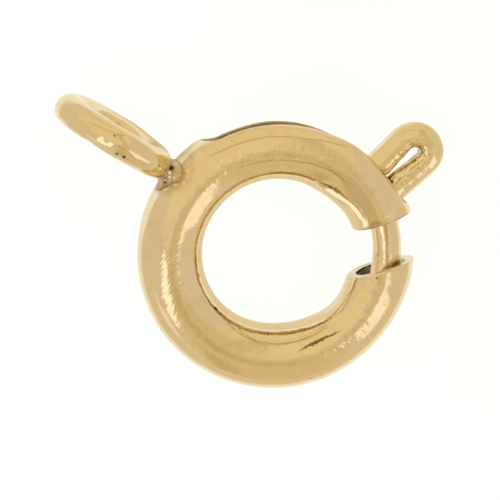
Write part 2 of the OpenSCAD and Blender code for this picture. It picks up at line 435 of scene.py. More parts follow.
# Its inner flank has a flat facet, as if from pliers, with a step down to it: by photo angle, where
# the facet starts and ends across the tube, as shares of its radius
LEAF = ([16, 22, 32, 42, 52, 61], [0.36, 0.36, 0.42, 0.52, 0.58, 0.66], [0.6, 0.66, 0.74, 0.8, 0.83, 0.76])
# The plane's lowest direction, how much it falls that way, and the photo angle where it meets the top
LEAF_TURN, LEAF_FALL, LEAF_START = 234.8, 0.45, 20
# How far the upper arm's end rolls down to the saw cut
END_ROLL = 0.052


def leaf_plane(theta, r):
    """The height of the facet's plane, in mm, at a place in the ring's plane."""
    ridge = np.interp(LEAF_START, LEAF[0], LEAF[1])
    at = polar(RING_R - TUBE_R * ridge, LEAF_START + PHOTO_UP - 90)
    low = polar(1, LEAF_TURN)
    fall = (r * np.cos(rad(theta)) - at[0]) * low[0] + (r * np.sin(rad(theta)) - at[1]) * low[1]
    return TUBE_R * (1 - TOP_FALL * ridge) - LEAF_FALL * fall


def upper_arm_lift(theta, psi, x):
    """How far the upper arm's top and facet are above a round tube, in tube radii. x runs across it,
    from -1 on the outer side to 1 on the inner side."""
    ridge, foot = (np.interp(psi, LEAF[0], LEAF[k]) for k in (1, 2))
    to_ridge = np.minimum(x, ridge)
    top = 1 - TOP_FALL * np.maximum(to_ridge, 0) - np.sqrt(1 - to_ridge ** 2)
    top = top * (1 - smooth(36, 60, psi))
    facet = leaf_plane(theta, RING_R - TUBE_R * np.minimum(x, foot)) / TUBE_R
    facet = (facet - np.sqrt(1 - np.clip(x, -1, foot) ** 2)) * (1 - smooth(foot, 0.99, x))
    step = smooth(ridge - 0.01, ridge + np.interp(psi, [22, 50], [0.03, 0.08]), x)
    return top * (1 - step) + np.maximum(facet, -0.3) * step


def tube_points(theta, phi, depth):
    """Points on the tube, depth below its outer skin, with the dents of the real one.
    phi is 0 on the outer side, 90 on top and 180 on the inner side."""
    theta, phi, depth = np.broadcast_arrays(*(np.asarray(v, float) for v in (theta, phi, depth)))
    psi, phi = photo_angle(theta), np.mod(phi, 360)
    wrapped = np.where(phi > 180, phi - 360, phi)
    east, north = np.cos(rad(theta)), np.sin(rad(theta))
    out, up = np.cos(rad(phi)), np.sin(rad(phi))
    inner = np.clip(-out, 0, 1) ** 3
    outer = np.clip((out + 0.3) / 1.3, 0, 1)
    outward = np.interp(psi, *CRIMP) * inner ** 1.5 + np.interp(psi, *PRESSED) * inner
    outward += (UPPER_FLARE * (1 - smooth(14, 36, psi)) + LOWER_FLARE * smooth(335, 352, psi)) * outer
    # the slot's lower lip is bent in, and its upper lip a little
    along = window(theta, 60, 84, 151, 162)
    bent = 0.13 - 0.02 * smooth(100, 118, theta) + 0.03 * smooth(125, 145, theta)
    outward -= bent * along * bell(wrapped, -26, 30) * (wrapped < 25)
    outward -= 0.04 * along * smooth(88, 104, theta) * bell(wrapped, 26, 26)
    across = (TUBE_R - depth) * out + outward
    height = (TUBE_R - depth) * up
    x = np.clip(-across / TUBE_R, -0.999, 0.999)
    upper_arm = psi < 90
    pressed = (1 - smooth(54, 66, psi)) * upper_arm * (phi > 90) * (phi < 180)
    height = height + TUBE_R * pressed * upper_arm_lift(theta, psi, x)
    rolled = (1 - smooth(12.5, 19.5, psi)) * upper_arm * smooth(-0.1, 0.25, x)
    height -= END_ROLL * rolled * np.clip(height / TUBE_R, 0, 1)
    r = RING_R + across
    p = np.stack([r * east, r * north, height], -1)
    # small unevenness, set in a little to stay inside the CAD's skin
    normal = np.stack([out * east, out * north, up], -1)
    return p + (0.0035 * waves(p, 1.6, 3) + 0.001 * waves(p, 0.42, 5) - 0.0015)[..., None] * normal


# Points round the tube, outside and inside, and the roundings of its edges
N_OUT, N_IN = 168, 42
EDGE, INNER_EDGE, CUT_EDGE = 0.05, 0.025, 0.032
# The rounding of the slot's two ends, seen from outside
FRONT_ARC, BACK_ARC = 0.22, 0.42
QUARTER = [polar(1, a) for a in (0, 22.5, 45, 67.5, 90)]
# The slot's lip from the skin to the bore: how far off its edge, and how deep
LIP = ([(EDGE * (1 - s), EDGE * (1 - c)) for c, s in QUARTER] + [(0, WALL * 0.5)]
       + [(INNER_EDGE * (1 - c), WALL - INNER_EDGE * (1 - s)) for c, s in QUARTER[::2]])
# Its point where the outer rounding ends
LIP_TURN = 4
# Which material a face of the tube has
ON_PLATE, ON_CUT, ON_BORE, ON_SHADED_LIP = range(4)


def slot_edge(zone, value, off):
    """Where the slot's edge is, or off away from it: its angle, and its height over the middle."""
    front, back = slot_start + arc_deg(FRONT_ARC, RING_OUT), slot_end - arc_deg(BACK_ARC, RING_OUT)
    if zone == "straight":
        return front + value * (back - front), SLOT_HALF + off
    length, at, way = (FRONT_ARC, front, -1) if zone == "front" else (BACK_ARC, back, 1)
    return (at + way * arc_deg(length + off, RING_OUT) * math.sin(value),
            (SLOT_HALF + off) * math.cos(value) if value < math.pi / 2 else 0.0)


def tube_stations():
    """Rows round the tube, from the upper cut face to the lower one: (angle, slot zone, value)."""
    up = CUT_TURN + asin_deg(UPPER_FACE, RING_R)
    low = CUT_TURN + asin_deg(LOWER_FACE, RING_R) + 360
    first = slot_edge("front", math.pi / 2, EDGE)[0]
    last = slot_edge("back", math.pi / 2, EDGE)[0]
    rows = [(a, None, 0) for a in np.linspace(up, first, 8)[:-1]]
    rows += [(None, "front", v) for v in rad([*range(90, 17, -12), 8])]
    rows += [(None, "straight", v) for v in np.linspace(0, 1, 112)]
    rows += [(None, "back", v) for v in rad([*range(7, 90, 7), 90])]
    rows += [(a, None, 0) for a in np.linspace(last, low, 272)[1:]]
    return rows, up, low


def end_angle(theta, r, up, low):
    """The row at this angle, turned so that the first and last rows lie in the saw cut's planes."""
    by_up = asin_deg(UPPER_FACE, r) - asin_deg(UPPER_FACE, RING_R)
    by_low = asin_deg(LOWER_FACE, r) - asin_deg(LOWER_FACE, RING_R)
    return theta + by_up * (1 - smooth(0, 5, theta - up)) + by_low * (1 - smooth(0, 70, low - theta))


def face_points(phi, depth, face, away):
    """Points on a plane parallel to a cut face, away from it inside the metal."""
    theta = np.full_like(phi, CUT_TURN)
    for _ in range(4):
        p = tube_points(theta, phi, depth)
        offset = UPPER_FACE + away if face == "up" else LOWER_FACE - away + LOWER_FACE_LEAN * p[:, 2]
        want = CUT_TURN + asin_deg(offset, from_axis(p))
        theta = theta + want - np.degrees(np.arctan2(p[:, 1], p[:, 0]))
    return tube_points(theta, phi, depth)


class Skin:
    """The tube's points and faces as they are made, each face with its material's number."""

    def __init__(self):
        self.points, self.faces, self.kinds = [], [], []

    def add(self, p, closed=False):
        start = len(self.points)
        self.points.extend(p)
        ids = list(range(start, start + len(p)))
        return ids + ids[:1] if closed else ids

    def face(self, ids, kind, flip):
        self.faces.append(ids[::-1] if flip else ids)
        self.kinds.append(kind)

    def strip(self, a, b, kind, flip=False):
        """Faces between two rows of points, which may share some."""
        for k in range(len(a) - 1):
            ids = list(dict.fromkeys([a[k], b[k], b[k + 1], a[k + 1]]))
            if len(ids) > 2:
                self.face(ids, kind, flip)


def tube_row(skin, station, face, up, low):
    """A row of points round the tube, outside and inside, and in the slot one over each lip. The lips
    share theirs at the slot's tips, and a row at a cut face lies in its plane."""
    angle, zone, value = station
    row = {}
    for side, (off, depth), count in (("out", LIP[0], N_OUT), ("in", LIP[-1], N_IN)):
        theta, half = slot_edge(zone, value, off) if zone else (angle, 0.0)
        gap = asin_deg(half, TUBE_R - depth)
        phi = gap + np.linspace(0, 1, count + 1) * (360 - 2 * gap)
        if face:
            p = face_points(phi, depth, face, CUT_EDGE)
        else:
            r = RING_R + (TUBE_R - depth) * np.cos(rad(phi))
            p = tube_points(end_angle(theta, r, up, low), phi, depth)
        row[side] = skin.add(p[:-1], True) if half == 0.0 else skin.add(p)
    if not zone:
        return row
    for lip, way, end in (("upper", 1, 0), ("lower", -1, -1)):
        ids = [row["out"][end]]
        for off, depth in LIP[1:-1]:
            theta, half = slot_edge(zone, value, off)
            phi = way * asin_deg(half, TUBE_R - depth)
            ids += skin.add(tube_points(theta, np.array([phi]), depth))
        row[lip] = ids + [row["in"][end]]
        if zone != "straight" and value > math.pi / 2 - 1e-6:
            row["lower"] = row["upper"]
            break
    return row


def close_cut(skin, row, face):
    """The saw cut's face at this row, with a rounded edge outside and inside."""
    up = face == "up"
    last, inner = row["out"], row["in"]
    for a in (25, 50, 75, 90):
        c, s = polar(1, a)
        ids = skin.add(face_points(full_turn(N_OUT), CUT_EDGE * (1 - c), face, CUT_EDGE * (1 - s)), True)
        skin.strip(last, ids, ON_CUT if a == 90 else ON_PLATE, up)
        last = ids
    for away, depth, kind in ((0.01, WALL - 0.004, ON_BORE), (0, WALL - 0.018, ON_CUT)):
        ids = skin.add(face_points(full_turn(N_IN), depth, face, away), True)
        skin.strip(inner, ids, kind, not up)
        inner = ids
    ratio = N_OUT // N_IN
    for k in range(N_IN):
        skin.face(last[ratio * k:ratio * (k + 1) + 1] + [inner[k + 1], inner[k]], ON_CUT, not up)


# Lines painted on the tube, each by photo angle: its phi, its half width in mm and its strength
LINES = {
    "dark": [
        # the ragged streak on the lower arm, and a short mark on the inner edge
        ([280, 284, 288, 295, 302, 308, 310], [104, 107, 110, 111, 109.5, 106, 105],
         [0.01, 0.016, 0.034, 0.038, 0.03, 0.014, 0.008], [0, 0.7, 1, 1, 1, 0.7, 0]),
        ([206, 207, 211, 215, 216], [137] * 5, [0.01, 0.02, 0.03, 0.02, 0.01], [0, 0.5, 0.6, 0.5, 0])],
    "darkened": [
        # painted dark reflections: round the inner edge, and two soft contours, on the upper arm and low on
        # the ring
        ([56, 64, 90, 150, 177, 206, 236, 267, 283, 300, 306, 321, 337, 348],
         [130, 133, 133.5, 134.5, 136, 136, 139.5, 144, 144, 139, 137.5, 139.5, 139.5, 138],
         [0.03, 0.035, 0.035, 0.035, 0.03, 0.03, 0.045, 0.055, 0.05, 0.04, 0.035, 0.032, 0.032, 0.03],
         [0, 0.9, 0.95, 0.95, 0.9, 0.85, 0.9, 0.9, 0.9, 0.9, 0.9, 0.8, 0.8, 0.6]),
        ([46, 50, 59, 69, 78, 92, 106, 118], [101, 101, 100, 102.4, 103.6, 103.4, 101.9, 100],
         [0.021] * 8, [0, 0.4, 0.55, 0.6, 0.6, 0.5, 0.4, 0]),
        ([224, 230, 236, 246, 254, 267, 283, 300, 306],
         [136, 134, 130.2, 125.7, 124.6, 124, 124.2, 126.6, 128], [0.02] * 9,
         [0, 0.4, 0.5, 0.6, 0.6, 0.6, 0.6, 0.5, 0])],
    "shine": [
        # a painted highlight along the upper arm's top
        ([18, 22, 34, 44, 54, 66, 70], [82, 86, 86.8, 86.6, 84.2, 85.3, 86],
         [0.012, 0.016, 0.016, 0.014, 0.014, 0.012, 0.01], [0, 0.9, 0.9, 0.8, 0.7, 0.5, 0])],
}
# By photo angle, the half width and strength of the dark band on the step down to the facet
STEP_BAND_WIDTH = ([20, 40, 47, 55, 62], [0.03, 0.034, 0.07, 0.075, 0.03])
STEP_BAND_STRENGTH = ([19, 24, 34, 44, 48, 55, 61, 63], [0, 0.45, 0.5, 0.6, 0.9, 0.9, 0.6, 0])
# Wrinkles on the left, and hammered places on both arms, which also get painted glints: how strong,
# and by which photo angle and phi
WRINKLES = ((1, (150, 175, 225, 245), (40, 60, 95, 115)),
            (0.5, (115, 130, 165, 180), (112, 118, 130, 136)))
HAMMERED = ((0.85, (50, 75, 125, 145), (66, 78, 96, 104)),
            (0.45, (280, 300, 330, 345), (60, 70, 85, 100)))


def tube_wear(points, lip_shine):
    radial = from_axis(points)
    theta = np.degrees(np.arctan2(points[:, 1], points[:, 0]))
    phi = np.degrees(np.arctan2(points[:, 2], radial - RING_R))
    psi = photo_angle(theta)
    outside = off_ring(points) > TUBE_R - 0.12
    on_top = outside & (points[:, 2] > 0)
    wear = {}
    for kind, lines in LINES.items():
        nearest, strength = np.full(len(points), 9.0), np.zeros(len(points))
        for turns, phis, widths, strengths in lines:
            off = rad(phi - np.interp(psi, turns, phis)) * TUBE_R / np.interp(psi, turns, widths)
            on = np.interp(psi, turns, strengths, 0, 0) * on_top
            take = (on > 0) & (np.abs(off) < np.abs(nearest))
            nearest, strength = np.where(take, off, nearest), np.where(take, on, strength)
        wear[kind + "_off"], wear[kind + "_on"] = nearest, strength

    def paint(kind, here, off, on):
        wear[kind + "_off"] = np.where(here, off, wear[kind + "_off"])
        wear[kind + "_on"] = np.where(here, on, wear[kind + "_on"])

    on_step = on_top & (psi > 18) & (psi < 64)
    from_step = (RING_R - radial) / TUBE_R - np.interp(psi, LEAF[0], LEAF[1]) - 0.03
    paint("dark", on_step, from_step / np.interp(psi, *STEP_BAND_WIDTH), np.interp(psi, *STEP_BAND_STRENGTH, 0, 0))
    # a painted highlight along the upper lip's rounded edge
    paint("shine", lip_shine > 0, 0, np.maximum(wear["shine_on"], lip_shine))
    # a painted highlight on the burr where the upper arm was sawn
    burr_highlight = on_top & (psi < 90) & (phi > 60) & (phi < 93)
    paint("shine", burr_highlight, psi - np.interp(phi, [62, 90], [18.8, 20.4]), window(phi, 60, 66, 88, 93))
    # a dark speck by the lower cut
    wear["mark"] = 0.8 * bell(psi, 346.8, 1) * bell(phi, 100, 3.2)
    # painted shade by the upper cut, as a darker reflection there, and tarnish round the solder
    shade_by_cut = 0.75 * smooth(21, 18.5, psi) * window(phi, 88, 96, 108, 114) * (psi < 90)
    near = gap_to(points, at_eyelet((1.41, 0, 0.2)))
    wear["stain_and_shade"] = shade_by_cut + 0.5 * bell(np.maximum(near - 0.52, 0), 0, 0.1) * outside
    for key, places in (("wrinkle", WRINKLES), ("hammered", HAMMERED)):
        wear[key] = sum(most * window(psi, *turns) * window(phi, *phis) for most, turns, phis in places)
    return {**wear, "along": rad(theta) * RING_R, "around": np.abs(rad(phi)) * TUBE_R}


def build_tube():
    stations, up, low = tube_stations()
    skin = Skin()
    ends = {0: "up", len(stations) - 1: "low"}
    rows = [tube_row(skin, station, ends.get(i), up, low) for i, station in enumerate(stations)]
    for a, b in zip(rows[:-1], rows[1:]):
        skin.strip(a["out"], b["out"], ON_PLATE)
        skin.strip(a["in"], b["in"], ON_BORE, True)
        if "upper" in a and "upper" in b:
            # the lower lip's rounded edge and both lips' faces take the darker steel, as painted shade
            for lip, kind, flip in (("upper", ON_PLATE, True), ("lower", ON_SHADED_LIP, False)):
                skin.strip(a[lip][:LIP_TURN + 1], b[lip][:LIP_TURN + 1], kind, flip)
                skin.strip(a[lip][LIP_TURN:], b[lip][LIP_TURN:], ON_SHADED_LIP, flip)
    close_cut(skin, rows[0], "up")
    close_cut(skin, rows[-1], "low")
    points = np.array(skin.points)
    # the upper lip's rounded edge gets a painted highlight
    lip_shine = np.zeros(len(points))
    for row in rows:
        lip_shine[row.get("upper", [])[1:LIP_TURN + 1]] = 0.8
    materials = (gold_tube, cut_steel, lightened_bore_steel, shaded_lip_metal)
    return piece("ring_tube", points, skin.faces, materials, skin.kinds, tube_wear(points, lip_shine))


ring_tube = build_tube()
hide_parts("ring_body")
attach(ring_tube, "clasp")


# the eyelet
# Two flats hammered on the eyelet's wire, by angle along it and round it, depth and half width in mm
EYELET_FLATS = ((108, -12, 0.013, 0.12), (75, 3, 0.014, 0.13))
# And its dark pits, by angle along it and round it, and radius in mm
EYELET_PITS = ((102, 21, 0.042), (84, -33, 0.068), (91, -37, 0.058), (66, 30, 0.02))
EYELET_ROWS, EYELET_SIDES = 220, 72


def build_eyelet():
    b, g = np.meshgrid(rad(full_turn(EYELET_ROWS)), rad(full_turn(EYELET_SIDES)), indexing="ij")

    def surface(radius):
        r = EYELET_R + radius * np.cos(g)
        x = r * np.cos(b)
        return at_eyelet(np.stack([x, radius * np.sin(g) - EYELET_BOW * x ** 2, r * np.sin(b)], -1))

    def away(at_b, at_g):
        round_wire = np.mod(g - rad(at_g) + math.pi, 2 * math.pi) - math.pi
        return np.hypot((b - rad(at_b)) * (EYELET_R + EYELET_WIRE_R), round_wire * EYELET_WIRE_R)

    # hammered flat on its sides, and uneven, but nowhere thicker than its wire
    p = surface(np.full_like(b, EYELET_WIRE_R))
    radius = EYELET_WIRE_R - 0.01 * np.abs(np.sin(g)) ** 6
    radius += 0.005 * waves(p, 0.95, 21) + 0.003 * waves(p, 0.42, 22) + 0.0008 * waves(p, 0.16, 23)
    for at_b, at_g, deep, wide in EYELET_FLATS:
        radius -= deep * bell(away(at_b, at_g), 0, wide)
    points = surface(np.minimum(radius, EYELET_WIRE_R)).reshape(-1, 3)
    near = gap_to(points, at_eyelet((1.27, 0, 0)))
    spots = np.zeros(b.shape)
    for at_b, at_g, size in EYELET_PITS:
        spots = np.maximum(spots, np.clip(1.3 - away(at_b, at_g) / size, 0, 1))
    wear = {"mark": spots.ravel() * 0.85, "stain_and_shade": 0.8 * smooth(0.72, 0.45, near),
            "along": (b * EYELET_R).ravel(), "around": (np.abs(g - math.pi) * EYELET_WIRE_R).ravel()}
    faces = grid_faces(EYELET_ROWS, EYELET_SIDES, closed_rows=True)
    return piece("eyelet_ring", points, faces, (gold_eyelet,), None, wear)


eyelet_ring = build_eyelet()
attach(eyelet_ring, "clasp")


# the solder
# About the eyelet's centre: the solder's own centre, and its pits and glints with their sizes
SOLDER_CENTRE = (1.37, 0, 0)
SOLDER_PITS = (((1.364, 0.054, 0.402), 0.058), ((1.444, -0.299, 0.327), 0.042))
SOLDER_GLINTS = (((1.385, -0.06, 0.44), 0.034), ((1.429, -0.141, 0.441), 0.028),
                 ((1.415, -0.259, 0.351), 0.024))
# It runs out on the ring in a tongue and a skirt: the middle of each, its radius and its thickness
SOLDER_RUNS = ((tube_points(174.7, 32, 0), 0.235, 0.022), (tube_points(183.2, 24, 0), 0.24, 0.02))
# How softly its parts blend, and how near to its centre and how far its skin may be
SOLDER_BLEND, SOLDER_NEAR, SOLDER_FAR = 0.03, 0.15, 1.05
SOLDER_ROWS, SOLDER_SIDES = 180, 97


def solder_depth(p, centre):
    """How far outside the solder, and the metal it joins, points are: less than 0 inside."""
    ring = off_ring(p) - TUBE_R
    q = from_eyelet(p)
    wire = np.hypot(np.hypot(q[..., 0], q[..., 2]) - EYELET_R, q[..., 1]) - EYELET_WIRE_R
    side = (q[..., 1] + 0.06) * np.where(q[..., 1] > -0.06, 1.45, 1.12)
    collar = np.sqrt((q[..., 0] - 1.52) ** 2 + side ** 2 + (q[..., 2] * 0.78) ** 2) - 0.385
    runs = [np.maximum(ring - thick, gap_to(p, at) - radius) for at, radius, thick in SOLDER_RUNS]
    parts = np.stack([ring + 0.01, wire + 0.016, collar, *runs], -1)
    low = parts.min(-1)
    soft = low - SOLDER_BLEND * np.log(np.exp(-(parts - low[..., None]) / SOLDER_BLEND).sum(-1))
    lumps = 0.01 * waves(p, 0.42, 31) + 0.004 * waves(p, 0.2, 32)
    # away from the joint it thins out under that metal
    away = gap_to(p, centre) + 0.25 * smooth(0.05, 0.25, q[..., 1])
    far = smooth(0.5, 0.85, away)
    return soft + 0.02 + far * 0.08 + lumps * (1 - far)


def build_solder():
    """The fillet of solder. Each of its points is the first way out of the metal on a line from its
    centre: steps find it, and halving closes in on it."""
    centre = at_eyelet(SOLDER_CENTRE)
    u, v = np.meshgrid(rad(full_turn(SOLDER_ROWS)), rad(np.linspace(0, 180, SOLDER_SIDES)), indexing="ij")
    line = np.stack([np.cos(v), np.sin(v) * np.cos(u), np.sin(v) * np.sin(u)], -1)
    steps = np.linspace(SOLDER_NEAR, SOLDER_FAR, 46)
    outside = np.stack([solder_depth(centre + s * line, centre) > 0 for s in steps], -1)
    first = np.where(outside.any(-1), outside.argmax(-1), len(steps) - 1)
    lo, hi = steps[np.maximum(first - 1, 0)], steps[first]
    for _ in range(12):
        mid = (lo + hi) / 2
        out = solder_depth(centre + mid[..., None] * line, centre) > 0
        lo, hi = np.where(out, lo, mid), np.where(out, mid, hi)
    points = (centre + ((lo + hi) / 2)[..., None] * line).reshape(-1, 3)

    def spots(places):
        near = [1.5 - gap_to(points, at_eyelet(at)) / size for at, size in places]
        return np.clip(np.max(near, axis=0), 0, 1)

    pits, glints = spots(SOLDER_PITS), spots(SOLDER_GLINTS)
    points = points - 0.03 * pits[:, None] * (points - centre)
    on_ring = off_ring(points) - TUBE_R
    from_tongue = gap_to(points, SOLDER_RUNS[0][0])
    wear = {"mark": pits, "stain_and_shade": smooth(0.3, 0.2, from_tongue) * smooth(0.12, 0.04, on_ring),
            "darkened": 0.45 * smooth(0.016, 0.006, on_ring), "shine": glints}
    faces = grid_faces(SOLDER_ROWS, SOLDER_SIDES, closed_rows=True, closed_columns=False)
    return piece("solder_joint", points, faces, (solder_grey,), None, wear)


solder_joint = build_solder()
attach(solder_joint, "clasp")


# the bolt and its trigger
# The wire's tail is cut almost square: degrees past its end, and mm off its radius
TAIL_ROUND = ((-0.15294, 0.006699), (-0.063501, 0.025), (0.14118, 0.05))
# How far the loop's inner side swells into its gap, by the distance back from the head's middle
SQUEEZE = ([-1, 0.05, 0.3, 0.62, 0.85, 1], [-0.03, -0.03, -0.012, 0.01, 0.014, 0])
BOLT_SIDES = 40


def bend_rows(centre, bend, start, end, steps, r0, r1):
    """Rows of the wire along a bend: each row's place, its heading and its radius."""
    rows = []
    for t in np.arange(steps + 1) / steps:
        heading = start + (end - start) * t
        x, y = np.asarray(centre) + bend * polar(1, heading - 90)
        rows.append((x, y, heading, r0 + (r1 - r0) * float(smooth(0, 1, t))))
    return rows


def straight(row, end, steps):
    x, y, heading, r = row
    return [(x + (end[0] - x) * i / steps, y + (end[1] - y) * i / steps, heading, r)
            for i in range(1, steps + 1)]


def bolt_rows():
    """The wire from its tip in the lower mouth, round the trigger's loop, to its tail."""
    rows = []
    for a in (*range(0, 73, 12), 81):
        c, s = polar(1, a)
        at = bolt_tip + arc_deg(TIP_ROUND * (1 - c), PATH_R)
        rows.append((*polar(PATH_R, at), at + 90, BOLT_R - TIP_ROUND * (1 - s)))
    front, back = angle_of(front_elbow) + 90, angle_of(back_elbow) + 90
    tip = bolt_tip + 90 + arc_deg(TIP_ROUND, PATH_R)
    rows += bend_rows((0, 0), PATH_R, tip, front, 90, BOLT_R, BOLT_R)
    rows += bend_rows(front_elbow, -ELBOW_R, front, front_dir, 26, BOLT_R, TRIGGER_R)[1:]
    rows += straight(rows[-1], head_centre + polar(HEAD_R, front_dir - 90), 24)
    rows += bend_rows(head_centre, HEAD_R, front_dir, back_dir + 180, 72, TRIGGER_R, TRIGGER_R)[1:]
    rows += straight(rows[-1], back_elbow - polar(BACK_ELBOW_R, back_dir + 90), 18)
    rows += bend_rows(back_elbow, -BACK_ELBOW_R, back_dir + 180, back, 30, TRIGGER_R, BOLT_R)[1:]
    rows += bend_rows((0, 0), PATH_R, back, tail_end + 90, 10, BOLT_R, BOLT_R)[1:]
    for past, less in TAIL_ROUND:
        rows.append((*polar(PATH_R, tail_end + past), tail_end + 90, BOLT_R - less))
    return rows


def bolt_skin(g):
    """The wire's points, row by row and by angle g round it, each row's middle, and how far each
    point faces the loop's gap."""
    p = []
    for x, y, heading, r in bolt_rows():
        left = np.array([*polar(1, heading + 90), 0])
        # a little flat on top and below where it is outside the tube
        flat = 1 - smooth(RING_OUT - 0.5, RING_OUT, math.hypot(x, y)) * 0.045 * np.abs(np.sin(g)) ** 4
        p.append(np.array([x, y, 0]) + (r * flat * np.cos(g))[:, None] * left
                 + (r * flat * np.sin(g))[:, None] * np.array([0, 0, 1]))
    p = np.array(p)
    middle = p.mean(1, keepdims=True)
    # the loop's inner side is drawn thin round its head and swells at its feet, which leaves a teardrop
    inward = head_centre - middle[:, 0, :2]
    axis = polar(1, TRIGGER_TURN + TRIGGER_LEAN)
    back_along = inward @ axis
    to_gap = inward - np.clip(back_along, 0, None)[:, None] * axis
    to_gap = to_gap / np.linalg.norm(to_gap, axis=1)[:, None]
    radial = from_axis(middle[:, 0])
    squeeze = np.interp(back_along, *SQUEEZE) * (radial > BORE_EDGE + 0.1)
    facing = np.einsum("ikj,ij->ik", (p - middle)[:, :, :2], to_gap) / TRIGGER_R
    p[:, :, :2] += (squeeze[:, None] * smooth(0.15, 1, facing))[..., None] * to_gap[:, None]
    # crinkled on that side's flanks, and a little uneven wherever it is outside the tube
    out = (p - middle) / np.linalg.norm(p - middle, axis=-1, keepdims=True)
    crinkle = 0.006 * window(facing, 0.1, 0.35, 0.85, 0.97) * waves(p, 0.15, 44)
    uneven = 0.0022 * waves(p, 0.8, 41) + 0.0012 * waves(p, 0.24, 42) + crinkle
    p = p + out * uneven[..., None] * (radial > RING_OUT - 0.2)[:, None, None]
    return p, middle[:, 0], facing


def bolt_wear(points, facing):
    """Painted shade along the edge of the loop's gap and dark specks round its head, die lines on its
    flanks with a painted dark reflection and a painted highlight, and painted reflections, dark and
    bright lines, along the stretch that closes the saw cut, by angle from its inner side."""
    radial = from_axis(points)
    inside = facing * (radial > BORE_EDGE)
    head = smooth(0.24, 0.12, gap_to(points[:, :2], head_centre))
    flank = window(inside, 0.05, 0.3, 0.85, 0.97)
    shaft = smooth(BORE_EDGE, BORE_EDGE - 0.2, radial) * smooth(0.3, 1, points[:, 2] / BOLT_R)
    turn = np.degrees(np.arccos(np.clip(inside, -1, 1))) + 5 * waves(points, 0.4, 43)
    on_top = points[:, 2] > 0
    looped = smooth(BORE_EDGE, BORE_EDGE + 0.15, radial) * on_top
    in_cut = smooth(BORE_EDGE, BORE_EDGE - 0.1, radial) * on_top
    from_inner = np.degrees(np.arccos(np.clip((PATH_R - radial) / BOLT_R, -1, 1)))
    from_inner += 4 * waves(points, 0.35, 45)
    cut_shine = np.where(from_inner < 80, (from_inner - 66) / 7, (from_inner - 93) / 4)
    wear = {"mark": 0.45 * head * smooth(0.5, 0.8, inside),
            "wrinkle": np.clip(flank + 0.5 * shaft, 0, 1),
            "hammered": 2.4 * flank * looped + 0.8 * in_cut * window(from_inner, 35, 50, 60, 85)}
    for kind, off_loop, on_loop, off_cut, on_cut in (
            ("dark", turn / 28, 0.5, (from_inner - 41) / 3.5, 0.3),
            ("darkened", (turn - 62) / 5, 0.55, (from_inner - 84) / 4, 0.5),
            ("shine", (turn - 50) / 7, 0.6, cut_shine, 0.9)):
        wear[kind + "_off"] = np.where(in_cut > 0, off_cut, off_loop)
        wear[kind + "_on"] = on_loop * looped + on_cut * in_cut
    return wear


def build_bolt():
    g = rad(full_turn(BOLT_SIDES))
    p, middle, facing = bolt_skin(g)
    rows = len(p)
    # each end is closed round a point in its middle
    points = np.concatenate([p.reshape(-1, 3), p[0].mean(0)[None], p[-1].mean(0)[None]])
    faces = grid_faces(rows, BOLT_SIDES)
    for row, centre, flip in ((0, rows * BOLT_SIDES, False), (rows - 1, rows * BOLT_SIDES + 1, True)):
        for k in range(BOLT_SIDES):
            f = [row * BOLT_SIDES + k, row * BOLT_SIDES + (k + 1) % BOLT_SIDES, centre]
            faces.append(f if flip else f[::-1])
    wear = bolt_wear(points, np.append(facing.ravel(), [0, 0]))
    run = np.append(0, np.cumsum(np.linalg.norm(np.diff(middle, axis=0), axis=1)))
    wear["along"] = np.append(np.repeat(run, BOLT_SIDES), [run[0], run[-1]])
    wear["around"] = np.append(np.tile(np.abs(g - math.pi) * BOLT_R, rows), [0, 0])
    return piece("bolt_wire", points, faces, (gold_bolt,), None, wear)


bolt_wire = build_bolt()
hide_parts("bolt")
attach(bolt_wire, "trigger_bolt")

# the spring
SPRING_STEPS, SPRING_SIDES = 30, 12


def build_spring():
    """The coil spring, and where its fixed end and its moving end are."""
    ends = arc_deg(SPRING_CLEAR + SPRING_WIRE_R, RING_R)
    start, end = tail_end + ends, STOP_TURN - arc_deg(STOP_LEN, RING_R) / 2 - ends
    t = np.linspace(0, 1, SPRING_TURNS * SPRING_STEPS + 1)
    # its coils lie a little closer in the middle
    turn = rad(start + (end - start) * (t + 0.01 * np.sin(2 * math.pi * t)))
    coil = 2 * math.pi * SPRING_TURNS * t
    outward = np.stack([np.cos(turn), np.sin(turn), 0 * t], -1)
    normal = np.cos(coil)[:, None] * outward + np.sin(coil)[:, None] * np.array([0, 0, 1.0])
    path = RING_R * outward + SPRING_R * normal
    tangent = np.gradient(path, axis=0)
    tangent /= np.linalg.norm(tangent, axis=1, keepdims=True)
    side = np.cross(tangent, normal)
    g = rad(full_turn(SPRING_SIDES))
    points = (path[:, None] + SPRING_WIRE_R * (np.cos(g)[None, :, None] * normal[:, None]
                                               + np.sin(g)[None, :, None] * side[:, None]))
    faces = [[f[0], *f[:0:-1]] for f in grid_faces(len(t), SPRING_SIDES)]
    faces.append(list(range(SPRING_SIDES)))
    faces.append(list(range(len(t) * SPRING_SIDES - 1, (len(t) - 1) * SPRING_SIDES - 1, -1)))
    obj = piece("coil_spring", points.reshape(-1, 3), faces, (spring_steel,))
    return obj, placed(np.array([[*polar(RING_R, end), 0], [*polar(RING_R, start), 0]]))


coil_spring, (fixed_end, moving_end) = build_spring()
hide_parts("spring")
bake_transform(coil_spring)

# CAD nodes are hidden by the pieces above, and still get their metals
for node, metal in (("ring_body", gold_tube), ("bolt", gold_bolt), ("spring", spring_steel)):
    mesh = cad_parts[node].data
    mesh.materials.clear()
    mesh.materials.append(metal)

# floor
FLOOR_Z = cad_box[0][2] - 2e-6
FLOOR_HALF = 0.6
PAPER, PAPER_GREY = rgb(1, 1, 1), rgb(0.97, 0.97, 0.97)
# What the metal sees, all painted light: the pool of light, and the table round it, with a paler
# painted light on one side
LIT_TABLE, TABLE, SIDE_LIT_TABLE = rgb(0.98, 0.97, 0.94), rgb(0.75, 0.64, 0.47), rgb(0.9, 0.775, 0.54)
